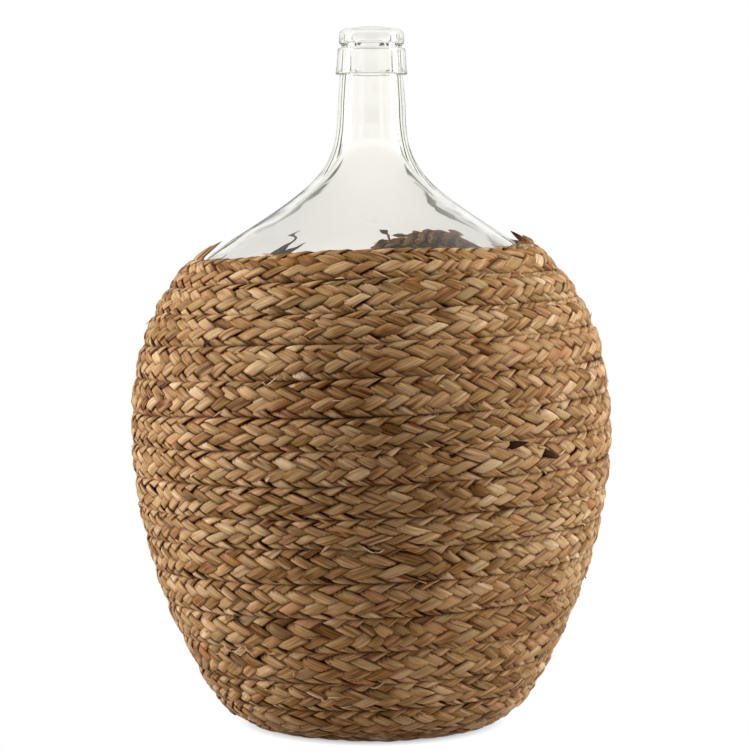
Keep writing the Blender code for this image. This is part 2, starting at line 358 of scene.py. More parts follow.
@dataclass(frozen=True)
class SeagrassFinish:
    """Dry seagrass leaf: fine fibres along it, and each length of its own tan.

    Painted shade darkens it low in the weave, along its edges and between its leaves.
    """

    name: str = "seagrass_leaf"
    dark: Color = (0.095, 0.038, 0.009)
    brown: Color = (0.238, 0.112, 0.036)
    tan: Color = (0.414, 0.240, 0.103)
    straw: Color = (0.595, 0.392, 0.210)
    pale: Color = (0.750, 0.560, 0.372)
    tone_places: tuple[float, ...] = (0.0, 0.25, 0.5, 0.75, 1.0)
    green: Color = (0.370, 0.275, 0.135)
    rust: Color = (0.460, 0.205, 0.085)
    # Painted shade colour: darkens the leaf low in the weave and on the faces turned to the glass
    crevice_shade: Color = (0.150, 0.055, 0.012)
    # Painted shade colour: darkens the leaf along its side edges and in the grooves between its
    # leaves
    painted_shade_brown: Color = (0.280, 0.125, 0.045)
    blotch: Grain = Grain((38.0, 2.5, 1.0), 3.0, 0.55, (0.30, 0.70), (-0.16, 0.16))
    fibres: Grain = Grain((50.0, 26.0, 1.0), 4.0, 0.65, (0.30, 0.70), (-0.27, 0.26))
    streak: Grain = Grain((14.0, 7.0, 1.0), 2.0, 0.5, (0.35, 0.65), (-0.11, 0.11))
    green_share: tuple[float, ...] = (0.55, 1.0, 0.0, 0.60)
    rust_share: tuple[float, ...] = (0.36, 0.0, 0.0, 0.70)
    crease_shade_share: tuple[float, ...] = (0.20, 0.9, 0.0, 0.95)
    edge_shade_share: tuple[float, ...] = (0.16, 0.98, 0.0, 0.74)
    edge_shade_power: float = 3.0
    roughness: float = 0.52
    specular: float = 0.06
    relief_strength: float = 0.55
    relief_height: float = 0.0006

    def edges(self, nodes: Nodes) -> Socket:
        """Return the painted shade along the leaf's two side edges, by how near a point is to them.

        Args:
            nodes: The material's nodes.

        Returns:
            The painted shade's share of the colour, from 0.
        """
        split = nodes.add("ShaderNodeSeparateXYZ", {0: nodes.uv()})
        turn = nodes.math("MULTIPLY", split.outputs["Y"], math.tau)
        side = nodes.math("ABSOLUTE", nodes.math("COSINE", turn))
        return nodes.spread(nodes.math("POWER", side, self.edge_shade_power), *self.edge_shade_share)

    def build(self) -> Material:
        """Make the material.

        Returns:
            The material.
        """
        nodes = Nodes(bpy.data.materials.new(self.name))
        tone = nodes.attribute("tone")
        noises = []
        for grain in (self.blotch, self.fibres, self.streak):
            noises.append(nodes.noise(nodes.scaled(nodes.uv(), grain.scale), 1.0, grain.detail,
                                      grain.roughness))
            tone = nodes.math("ADD", tone, nodes.spread(noises[-1], *grain.read, *grain.shift))
        tones = (self.dark, self.brown, self.tan, self.straw, self.pale)
        color = nodes.ramp(tone, tuple(zip(self.tone_places, tones)))
        hue, crease_shade = nodes.attribute("hue"), nodes.attribute("crease_shade")
        for blend, share, over in (
                (Blend.OVER, nodes.spread(hue, *self.green_share), self.green),
                (Blend.OVER, nodes.spread(hue, *self.rust_share), self.rust),
                # painted shade low in the weave and on the faces turned to the glass
                (Blend.TINT, nodes.attribute("painted_shade"), self.crevice_shade),
                # painted shade along the leaf's side edges, then in the grooves between its leaves
                (Blend.TINT, self.edges(nodes), self.painted_shade_brown),
                (Blend.TINT, nodes.spread(crease_shade, *self.crease_shade_share), self.painted_shade_brown)):
            color = nodes.mix(blend, share, color, over)
        nodes.feed(nodes.shader, {"Base Color": color, "Roughness": self.roughness,
                                  "Specular IOR Level": self.specular})
        nodes.bump(nodes.math("ADD", *noises[1:]), self.relief_strength, self.relief_height)
        return nodes.owner


@dataclass(frozen=True)
class ThreadFinish:
    """Pale twisted sewing thread."""

    name: str = "pale_thread"
    color: Color = (0.66, 0.55, 0.38)
    shade: Color = (0.36, 0.26, 0.15)
    shade_end: float = 0.6
    twist: Place = (320.0, 1.0, 1.0)
    roughness: float = 0.75
    relief_strength: float = 0.5
    relief_height: float = 0.0004

    def build(self) -> Material:
        """Make the material.

        Returns:
            The material.
        """
        nodes = Nodes(bpy.data.materials.new(self.name))
        twist = nodes.add("ShaderNodeTexWave",
                          {"Vector": nodes.scaled(nodes.uv(), self.twist), "Scale": 1.0},
                          wave_type="BANDS", bands_direction="DIAGONAL").outputs["Fac"]
        color = nodes.ramp(twist, ((0.0, self.shade), (self.shade_end, self.color)))
        nodes.feed(nodes.shader, {"Base Color": color, "Roughness": self.roughness})
        nodes.bump(twist, self.relief_strength, self.relief_height)
        return nodes.owner


def curve(corners: tuple, count: int) -> Array:
    """Return a Bezier curve.

    Args:
        corners: Its start, its handles and its end.
        count: How many points it has.

    Returns:
        The points, without the start.
    """
    order = len(corners) - 1
    share = np.arange(1, count + 1)[:, None] / count
    power = np.arange(order + 1)
    fans = np.array([math.comb(order, k) for k in power])
    return (fans * (1.0 - share) ** (order - power) * share ** power) @ np.array(corners)


def rounding(corner: Point, before: Point, after: Point, radius: float,
             count: int) -> list[Point]:
    """Return an arc that rounds a corner between two straight runs.

    Args:
        corner: The corner.
        before: A point of the run to it.
        after: A point of the run from it.
        radius: The arc's radius.
        count: The arc's steps.

    Returns:
        The arc's points, with both ends.
    """
    corner, before, after = Vector(corner), Vector(before), Vector(after)
    into = (before - corner).normalized()
    out = (after - corner).normalized()
    half = into.angle(out) / 2
    centre = corner + (into + out).normalized() * (radius / math.sin(half))
    reach = radius / math.tan(half)
    first = corner + into * reach - centre
    last = corner + out * reach - centre
    sweep = first.angle_signed(last)
    points = []
    for i in range(count + 1):
        cos, sin = math.cos(-sweep * i / count), math.sin(-sweep * i / count)
        points.append((centre.x + first.x * cos - first.y * sin,
                       centre.y + first.x * sin + first.y * cos))
    return points


@dataclass
class BottleForm:
    """The bottle's sizes, and its half section.

    A handle is how far a curve of the shoulder runs straight on from one of its ends, as
    a share of the way along or up.
    """

    height: float = 0.540
    belly_radius: float = 0.1786
    belly_height: float = 0.234
    foot_radius: float = 0.106
    heel_rise: float = 0.027
    punt_radius: float = 0.060
    punt_depth: float = 0.020
    shoulder_radius: float = 0.104
    shoulder_drop: float = 0.100
    shoulder_slope: float = math.radians(32.0)
    belly_handle: float = 0.52
    lower_handle: float = 0.56
    upper_handle: float = 0.90
    neck_handle: float = 0.44
    neck_foot_radius: float = 0.0267
    neck_top_radius: float = 0.0245
    neck_length: float = 0.0242
    collar_radius: float = 0.0280
    collar_top_radius: float = 0.0264
    collar_height: float = 0.0205
    collar_rounding: float = 0.0015
    waist_radius: float = 0.0236
    waist_height: float = 0.0028
    lip_radius: float = 0.0254
    lip_height: float = 0.0125
    lip_rounding: float = 0.0055
    lip_under_rounding: float = 0.0020
    bore_radius: float = 0.0170
    bore_rounding: float = 0.0015
    base_wall: float = 0.007
    belly_wall: float = 0.0045
    shoulder_wall: float = 0.0045
    neck_wall: float = 0.0063
    seat: float = 0.0078
    fullness: float = 2.0
    punt_steps: int = 12
    heel_steps: int = 8
    flank_steps: int = 22
    lower_steps: int = 22
    upper_steps: int = 34
    rounding_steps: int = 5
    bore_shares: tuple[float, ...] = (0.15, 0.3, 0.45, 0.6, 0.75, 0.9)

    def __post_init__(self) -> None:
        """Stack the heights of the mouth's parts down from the lip."""
        self.lip_foot = self.height - self.lip_height
        self.collar_top = self.lip_foot - self.waist_height
        self.collar_foot = self.collar_top - self.collar_height
        self.neck_foot = self.collar_foot - self.neck_length
        self.shoulder_height = self.neck_foot - self.shoulder_drop

    def flank_point(self, height: float | Array) -> Array:
        """Return the flank's outer point at a height.

        Args:
            height: The height, or a row of them.

        Returns:
            The point, or a row of them.
        """
        way = (height - self.seat) / (self.belly_height - self.seat)
        spread = self.belly_radius - self.foot_radius
        radius = self.foot_radius + spread * (1.0 - np.abs(1.0 - way) ** self.fullness)
        return np.stack((radius, height), axis=-1)

    def outside(self, heel: int, flank: int, lower: int, upper: int) -> Array:
        """Return the outside from the standing ring over the belly to the neck's foot.

        Args:
            heel: The steps of the heel's rounding.
            flank: The steps of the flank.
            lower: The steps from the belly to the straight part of the shoulder.
            upper: The steps from there to the neck's foot.

        Returns:
            The profile.
        """
        rise = self.belly_height - self.seat
        low = self.seat + self.heel_rise
        end = self.flank_point(low)
        lean = (self.belly_radius - self.foot_radius) / rise * self.fullness
        lean *= (1.0 - self.heel_rise / rise) ** (self.fullness - 1.0)
        corner = (end[0] - lean * self.heel_rise, self.seat)
        start = (corner[0] - math.dist(corner, end), self.seat)
        heights = low + (self.belly_height - low) * np.arange(1, flank + 1) / flank

        belly = np.array((self.belly_radius, self.belly_height))
        middle = np.array((self.shoulder_radius, self.shoulder_height))
        foot = np.array((self.neck_foot_radius, self.neck_foot))
        slope = np.array((math.cos(self.shoulder_slope), -math.sin(self.shoulder_slope)))
        from_belly = belly + (0.0, self.belly_handle * (middle[1] - belly[1]))
        to_middle = middle + slope * (self.lower_handle * (belly[0] - middle[0]) / slope[0])
        from_middle = middle - slope * (self.upper_handle * (middle[0] - foot[0]) / slope[0])
        to_foot = foot - (0.0, self.neck_handle * self.shoulder_drop)
        return np.vstack((start, curve((start, corner, end), heel), self.flank_point(heights),
                          curve((belly, from_belly, to_middle, middle), lower),
                          curve((middle, from_middle, to_foot, foot), upper)))

    def mouth(self, inside_top: Point) -> list[Point]:
        """Return the outside over the collar, waist and lip, and the bore's edge.

        Args:
            inside_top: The inside's last point, under the bore.

        Returns:
            The points from the neck's top to the bore.
        """
        steps = self.rounding_steps
        corners = ((self.neck_top_radius, self.collar_foot, 0.0, 0),
                   (self.collar_radius, self.collar_foot, self.collar_rounding, steps),
                   (self.collar_top_radius, self.collar_top, self.collar_rounding, steps),
                   (self.waist_radius, self.collar_top, 0.0, 0),
                   (self.waist_radius, self.lip_foot, 0.0, 0),
                   (self.lip_radius, self.lip_foot, self.lip_under_rounding, steps),
                   (self.lip_radius, self.height, self.lip_rounding, 2 * steps),
                   (self.bore_radius, self.height, self.bore_rounding, steps + 1),
                   inside_top)
        points = [corners[0][:2]]
        for before, corner, after in zip(corners, corners[1:], corners[2:]):
            if corner[3]:
                points += rounding(corner[:2], before[:2], after[:2], *corner[2:])
            else:
                points.append(corner[:2])
        return points

    def half_section(self) -> tuple[list[list[float]], int]:
        """Return the closed half section, up the outside and down the inside.

        Returns:
            The points, and the index of the first inside one.
        """
        share = np.arange(self.punt_steps + 1) / self.punt_steps
        rise = self.punt_depth * (1.0 + np.cos(math.pi * share)) / 2
        punt = np.stack((self.punt_radius * share, self.seat + rise), axis=-1)
        outside = np.vstack((punt, self.outside(self.heel_steps, self.flank_steps,
                                                self.lower_steps, self.upper_steps)))
        shares = run_along(outside) / run_along(outside)[-1]
        belly = self.punt_steps + self.heel_steps + self.flank_steps + 1
        wall = eased(shares, ((0.0, self.base_wall), (shares[belly], self.belly_wall),
                              (shares[belly + self.lower_steps], self.shoulder_wall),
                              (1.0, self.neck_wall)))
        along = unit(np.gradient(outside, axis=0))
        along[0] = (1.0, 0.0)
        along[-1] = (0.0, 1.0)
        inside = outside + np.stack((-along[:, 1], along[:, 0]), axis=-1) * wall[:, None]
        start = np.vstack((outside, self.mouth(tuple(inside[-1].tolist()))))
        bore = start[-1] + (inside[-1] - start[-1]) * np.array(self.bore_shares)[:, None]
        return np.vstack((start, bore, inside[::-1])).tolist(), len(start)


@dataclass
class Bottle:
    """The bottle: its half section turned about the axis, with a slightly uneven inside."""

    form: BottleForm = field(default_factory=BottleForm)
    finish: GlassFinish = field(default_factory=GlassFinish)
    first_size: float = 0.01
    segments: int = 160
    merge_distance: float = 0.00001
    smooth_angle: float = math.radians(40.0)
    unevenness: float = 0.00018
    wave_turns: tuple[int, ...] = (1, 2, 3, 5, 7, 11)
    wave_rises: tuple[float, ...] = (9.0, 21.0, 44.0)
    wave_sizes: Point = (0.4, 1.0)
    wave_fading: float = 0.12
    calm_radius: Point = (0.004, 0.05)
    least_radius: float = 0.0001
    match_digits: int = 5
    seed: int = 11

    def build(self) -> Object:
        """Model and dress the bottle.

        Returns:
            The bottle.
        """
        points, inside_start = self.form.half_section()
        bpy.ops.object.select_all(action="DESELECT")
        bpy.ops.mesh.primitive_plane_add(size=self.first_size)
        bottle = bpy.context.object
        bottle.name = "bottle"
        bpy.ops.object.mode_set(mode="EDIT")
        bpy.ops.mesh.select_all(action="SELECT")
        bpy.ops.mesh.merge(type="CENTER")
        bpy.ops.transform.translate(value=(points[0][0], 0.0, points[0][1]))
        for a, b in zip(points, points[1:]):
            step = (b[0] - a[0], 0.0, b[1] - a[1])
            bpy.ops.mesh.extrude_region_move(TRANSFORM_OT_translate={"value": step})
        bpy.ops.mesh.select_all(action="SELECT")
        bpy.ops.mesh.spin(steps=self.segments, angle=math.tau, center=(0.0, 0.0, 0.0),
                          axis=(0.0, 0.0, 1.0), use_auto_merge=True)
        bpy.ops.mesh.select_all(action="SELECT")
        bpy.ops.mesh.remove_doubles(threshold=self.merge_distance)
        bpy.ops.mesh.normals_make_consistent(inside=False)
        bpy.ops.object.mode_set(mode="OBJECT")
        self.unsettle(bottle, points[inside_start:])
        bpy.ops.object.shade_smooth_by_angle(angle=self.smooth_angle)
        bottle.data.materials.clear()
        bottle.data.materials.append(self.finish.build())
        bottle.visible_shadow = False
        bottle.visible_diffuse = False
        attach(bottle, "root")
        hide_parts(Node.BOTTLE.value)
        return bottle

    def unsettle(self, bottle: Object, inside: list[list[float]]) -> None:
        """Move the inner wall in and out a little, as blown glass is.

        Args:
            bottle: The turned bottle.
            inside: The inner points of its half section.
        """
        mesh = bottle.data
        place = np.empty(len(mesh.vertices) * 3)
        mesh.vertices.foreach_get("co", place)
        place = place.reshape(-1, 3)
        radius = np.hypot(place[:, 0], place[:, 1])
        digits = self.match_digits
        inner = {(round(r, digits), round(z, digits)) for r, z in inside}
        is_inner = np.array([(round(r, digits), round(z, digits)) in inner
                             for r, z in zip(radius.tolist(), place[:, 2].tolist())])
        angle = np.arctan2(place[:, 1], place[:, 0])
        rng = np.random.default_rng(self.seed)
        wave = np.zeros(len(place))
        for turns in self.wave_turns:
            for rise in self.wave_rises:
                lean = rng.uniform(-1.0, 1.0)
                start = rng.uniform(0.0, math.tau)
                size = rng.uniform(*self.wave_sizes) / (1.0 + self.wave_fading * turns)
                wave += size * np.sin(turns * angle + rise * math.tau * place[:, 2] * lean + start)
        wave *= self.unevenness * smooth_step(*self.calm_radius, radius) / 2.0
        wave[~is_inner] = 0.0
        place[:, :2] *= (1.0 + wave / np.maximum(radius, self.least_radius))[:, None]
        mesh.vertices.foreach_set("co", place.ravel())
        mesh.update()


@dataclass
class Line:
    """A leaf, strand or thread: rings of points, the length at each and their marks."""

    rings: Array
    lengths: Array
    marks: dict[str, Array]


def swept(centres: Array, facing: Array, half_width: Array, half_thickness: Array,
          outline: Array, marks: dict[str, Array]) -> Line:
    """Return a line whose sections stand square to it.

    Args:
        centres: The middle of each station.
        facing: The direction of the flat side at each station.
        half_width: Half the width at each station.
        half_thickness: Half the thickness at each station.
        outline: The section's points, as shares of the two.
        marks: The values that the material reads, at each station.

    Returns:
        The line.
    """
    along = unit(np.gradient(centres, axis=0))
    side = unit(np.cross(along, facing))
    out = np.cross(side, along)
    across = outline[None, :, 0] * half_width[:, None]
    raised = outline[None, :, 1] * half_thickness[:, None]
    rings = (centres[:, None, :] + side[:, None, :] * across[..., None]
             + out[:, None, :] * raised[..., None])
    return Line(rings, run_along(centres), marks)


def oval(count: int, squareness: float, flatness: float) -> Array:
    """Return the points of a flattened round outline, one unit each way.

    Args:
        count: How many points it has.
        squareness: The power of its width, under 1 for fuller sides.
        flatness: The power of its thickness, under 1 for fuller faces.

    Returns:
        The points.
    """
    turn = np.arange(count) * math.tau / count
    cos, sin = np.cos(turn), np.sin(turn)
    return np.stack((np.sign(cos) * np.abs(cos) ** squareness,
                     np.sign(sin) * np.abs(sin) ** flatness), axis=-1)


def join_lines(name: str, lines: list[Line], material: Material) -> Object:
    """Make one mesh of closed tubes, one for each line, with nothing below the ground.

    Args:
        name: The object's name.
        lines: What the tubes follow.
        material: Their material.

    Returns:
        The new object, at the origin.
    """
    corners, quads, caps, uvs, marks = [], [], [], [], {}
    start = 0
    for line in lines:
        count, sides = line.rings.shape[:2]
        line.rings[..., 2] = np.maximum(line.rings[..., 2], 0.0)
        corners.append(line.rings.reshape(-1, 3))
        index = np.arange(count * sides).reshape(count, sides) + start
        after = np.roll(index, -1, axis=1)
        quad = np.stack((index[:-1], index[1:], after[1:], after[:-1]), axis=-1)
        quads.append(quad.reshape(-1, 4))
        near = np.broadcast_to(line.lengths[:-1, None], quad.shape[:2])
        far = np.broadcast_to(line.lengths[1:, None], quad.shape[:2])
        low = np.broadcast_to(np.arange(sides) / sides, quad.shape[:2])
        high = low + 1.0 / sides
        uvs.append(np.stack((near, low, far, low, far, high, near, high), axis=-1).reshape(-1, 2))
        caps.append((index[0], line.lengths[0]))
        caps.append((index[-1, ::-1], line.lengths[-1]))
        for key, value in line.marks.items():
            value = np.repeat(value, sides) if value.ndim == 1 else value.ravel()
            marks.setdefault(key, []).append(value)
        start += count * sides
    for ring, length in caps:
        uvs.append(np.stack((np.full(len(ring), length), np.linspace(0.0, 1.0, len(ring))), axis=-1))
    corners, quads = np.concatenate(corners), np.concatenate(quads)
    sizes = np.array([4] * len(quads) + [len(ring) for ring, _ in caps])
    loops = np.concatenate([quads.ravel()] + [ring for ring, _ in caps])
    mesh = bpy.data.meshes.new(name)
    mesh.vertices.add(len(corners))
    mesh.vertices.foreach_set("co", corners.ravel())
    mesh.loops.add(len(loops))
    mesh.loops.foreach_set("vertex_index", loops)
    mesh.polygons.add(len(sizes))
    mesh.polygons.foreach_set("loop_start", np.cumsum(sizes) - sizes)
    mesh.update(calc_edges=True)
    mesh.uv_layers.new(name="UVMap").data.foreach_set("uv", np.concatenate(uvs).ravel())
    for key, values in marks.items():
        attribute = mesh.attributes.new(key, "FLOAT", "POINT")
        attribute.data.foreach_set("value", np.concatenate(values).astype(np.float32))
    mesh.shade_smooth()
    mesh.materials.append(material)
    made = bpy.data.objects.new(name, mesh)
    bpy.context.collection.objects.link(made)
    return made


@dataclass
class Route:
    """The spiral that the plait's middle follows, from the base's middle to the back.

    The slips say how many millimetres the plait lies above an even winding, at a number
    of turns below the rim, and at an azimuth of the rim in degrees.
    """

    form: BottleForm = field(default_factory=BottleForm)
    width: float = 0.0254
    pitch: float = 0.0262
    offset: float = 0.0043
    eye_radius: float = 0.0028
    cover_height: float = 0.370
    end_azimuth: float = math.radians(86.0)
    lean: float = 0.0035
    steps_per_turn: int = 24
    guide_steps: int = 160
    spare_angle: float = 0.6
    stations: int = 60000
    slips: Points = (
        (-1, -3.0), (0, -3.0), (1, -5.1), (2, -6.1), (3, -4.1), (4, -3.6), (5, -4.2), (6, -1.4),
        (7, -0.7), (8, 1.5), (9, 5.2), (10, 5.2), (11, 3.8), (12, 1.8), (13, -0.5), (14, 1.0),
        (15, 0.0))
    rim_slips: Points = (
        (-180, -4.5), (-150, -3.0), (-90, 0.0), (0, -4.5), (38, 1.0), (50, 12.5), (84, 12.5),
        (110, 0.0), (180, -4.5))
    rim_reach: Point = (0.3, 2.4)
    turns_tried: tuple[int, int] = (-20, 2)

    def __post_init__(self) -> None:
        """Offset the bottle's outside, and measure the guide and the spiral on it."""
        steps = self.guide_steps
        points = np.vstack(((0.0, self.form.seat), self.form.outside(steps, steps, steps, steps)))
        self.along = unit(np.gradient(points, axis=0))
        self.along[:2] = (1.0, 0.0)
        self.line = points + np.stack((self.along[:, 1], -self.along[:, 0]), axis=-1) * self.offset
        self.lengths = run_along(self.line)
        self.end = self.length_up_to(self.cover_height)
        step = self.pitch / self.steps_per_turn
        count = int((self.end - self.eye_radius - self.width / 2) / step)
        self.start = self.end - count * step
        self.start_angle = self.end_azimuth - count * math.tau / self.steps_per_turn
        self.angles = np.linspace(self.start_angle, self.end_azimuth + self.spare_angle,
                                  self.stations)
        radius = np.interp(self.length_at(self.angles), self.lengths, self.line[:, 0])
        run = (radius[1:] + radius[:-1]) / 2 * np.diff(self.angles)
        self.runs = np.concatenate(([0.0], np.cumsum(run)))
        self.total = self.run_at(self.end_azimuth)

    def length_up_to(self, height: float) -> float:
        """Return the guide's length at a height of the wall."""
        return float(np.interp(height, self.line[2:, 1], self.lengths[2:]))

    def length_at(self, angle: Array) -> Array:
        """Return the guide's length at an angle of the spiral, without the lean."""
        return self.end - self.pitch * (self.end_azimuth - angle) / math.tau

    def angle_at(self, run: Array) -> Array:
        """Return the spiral's angle at a length along the plait."""
        return np.interp(run, self.runs, self.angles)

    def run_at(self, angle: float) -> float:
        """Return the length along the plait at an angle of the spiral."""
        return float(np.interp(angle, self.angles, self.runs))

    def nearest(self, azimuth: float, height: float) -> Point:
        """Return where the plait passes a point of the wall.

        Args:
            azimuth: The point's azimuth in degrees.
            height: Its height.

        Returns:
            The nearest turn's angle, and how far across the turn the point lies.
        """
        turns = math.radians(azimuth) + math.tau * np.arange(*self.turns_tried)
        turns = turns[(turns > self.start_angle) & (turns < self.end_azimuth)]
        middle = self.length_at(turns)
        middle = middle + self.lean * np.cos(turns) * (middle - self.start) / (self.end - self.start)
        away = self.length_up_to(height) - middle - self.slip(turns, middle)
        best = int(np.argmin(np.abs(away)))
        return float(turns[best]), float(away[best])

    def slip(self, angle: Array, length: Array) -> Array:
        """Return how far the plait lies along the guide from an even winding.

        Args:
            angle: The spiral's angle at each point.
            length: The guide's length there in an even winding.

        Returns:
            The distance, above zero towards the mouth.
        """
        below = (self.end - length) / self.pitch
        azimuth = (np.degrees(angle) + 180.0) % 360.0 - 180.0
        rim = eased(azimuth, self.rim_slips) * (1.0 - smooth_step(*self.rim_reach, below))
        return (eased(below, self.slips) + rim) / MILLIMETRES

    def place(self, angle: Array, across: Array, out: Array) -> tuple[Array, Array]:
        """Return points of the plait and the way out there.

        Args:
            angle: The spiral's angle at each point.
            across: How far each is up from the plait's middle.
            out: How far each is out from the plait's middle.

        Returns:
            The points and the directions out.
        """
        length = self.length_at(angle)
        climb = np.clip((length - self.start) / (self.end - self.start), 0.0, 1.0)
        length = length + self.lean * climb * np.cos(angle) + across
        length = length + self.slip(angle, length)
        radius = np.interp(length, self.lengths, self.line[:, 0])
        height = np.interp(length, self.lengths, self.line[:, 1])
        along = unit(np.stack((np.interp(length, self.lengths, self.along[:, 0]),
                               np.interp(length, self.lengths, self.along[:, 1])), axis=-1))
        radius = radius + along[..., 1] * out + np.minimum(length, 0.0)
        height = height - along[..., 0] * out
        cos, sin = np.cos(angle), np.sin(angle)
        points = np.stack((radius * cos, radius * sin, height), axis=-1)
        out_way = np.stack((along[..., 1] * cos, along[..., 1] * sin, -along[..., 0]), axis=-1)
        return points, out_way


@dataclass(frozen=True)
class Folds:
    """How the leaves of one strand lie side by side, with a groove between each two.

    Angles are round the strand's section. A groove opens and shuts along the strand,
    and the leaf beside it stands a little higher. Each leaf's tone is painted lighter on
    the ridge side of its groove and darker on the other, a painted highlight and shade.
    """

    leaves: int = 3
    start_spread: float = 0.6
    twist: float = 9.0
    wandering: Drift = Drift(0.05)
    openness: float = 0.55
    opening: Drift = Drift(0.035, 0.9)
    groove_width: float = 0.22
    groove_depth: float = 0.26
    ridge_place: float = 0.45
    ridge_width: float = 0.24
    ridge_height: float = 0.10
    painted_light: float = 0.075

    def around(self, rng: Draws, run: Array, sides: int) -> tuple[Array, Array, Array]:
        """Return the strand's folds at each station and side.

        Args:
            rng: The strand's random source.
            run: The length along the plait at each station.
            sides: The number of the section's points.

        Returns:
            The section's size, the painted shade in the grooves between its leaves at each
            point, and the painted highlight and shade that it adds to the tone.
        """
        turn = np.arange(sides)[None, :] * math.tau / sides
        swell = np.ones((len(run), sides))
        crease_shade, light = np.zeros_like(swell), np.zeros_like(swell)
        for k in range(self.leaves):
            middle = math.tau * k / self.leaves + rng.uniform(-self.start_spread, self.start_spread)
            middle = middle + run * rng.uniform(-self.twist, self.twist)
            middle = middle + self.wandering.along(rng, run)
            away = np.angle(np.exp(1j * (turn - middle[:, None])))
            open_share = np.clip(self.openness + self.opening.along(rng, run), 0.0, 1.0)[:, None]
            groove = bell(away, self.groove_width) * open_share
            ridge = bell(away - self.ridge_place, self.ridge_width) * open_share
            # The grooves' mask, which the material darkens with painted shade
            crease_shade = np.maximum(crease_shade, groove)
            swell += self.ridge_height * ridge - self.groove_depth * groove
            # Painted highlight and shade: the ridge side of each groove lighter, the other side
            # darker
            light += self.painted_light * np.sin(away) * open_share
        return swell, crease_shade, light


